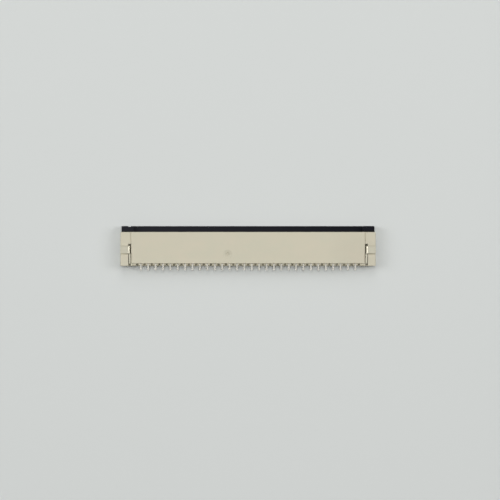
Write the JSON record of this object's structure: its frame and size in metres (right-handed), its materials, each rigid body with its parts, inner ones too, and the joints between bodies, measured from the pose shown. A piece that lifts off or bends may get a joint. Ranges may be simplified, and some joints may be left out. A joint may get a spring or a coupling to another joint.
{
  "type": "fpc connector",
  "caption": "Low surface-mount flat-cable connector with a drawer slider, side solder nails and a row of fork contacts.",
  "frame": {"origin": "Middle of the cover's outer face, which the part lies on, under the middle of its whole depth", "axes": "+X along the row of contacts, +Y towards the slider and the cable, +Z out of the solder side"},
  "size_m": [0.0346, 0.006, 0.0025],
  "materials": {
    "housing_resin": "matt moulded high-temperature resin",
    "slider_resin": "satin moulded black resin",
    "contact_metal": "satin tin plate on phosphor bronze",
    "nail_metal": "satin tin plate on brass sheet"
  },
  "bodies": {
    "base": {"housing": "housing_resin", "nail_left": "nail_metal", "nail_right": "nail_metal", "contact_01": "contact_metal", "contact_02": "contact_metal", "contact_03": "contact_metal", "contact_04": "contact_metal", "contact_05": "contact_metal", "contact_06": "contact_metal", "contact_07": "contact_metal", "contact_08": "contact_metal", "contact_09": "contact_metal", "contact_10": "contact_metal", "contact_11": "contact_metal", "contact_12": "contact_metal", "contact_13": "contact_metal", "contact_14": "contact_metal", "contact_15": "contact_metal", "contact_16": "contact_metal", "contact_17": "contact_metal", "contact_18": "contact_metal", "contact_19": "contact_metal", "contact_20": "contact_metal", "contact_21": "contact_metal", "contact_22": "contact_metal", "contact_23": "contact_metal", "contact_24": "contact_metal", "contact_25": "contact_metal", "contact_26": "contact_metal", "contact_27": "contact_metal", "contact_28": "contact_metal", "contact_29": "contact_metal", "contact_30": "contact_metal"},
    "slider": {"slider": "slider_resin"}
  },
  "joints": [
    {"name": "slider_travel", "type": "slide", "parent": "base", "child": "slider", "axis": [0, 1, 0], "range_m": [0, 0.0012]}
  ]
}
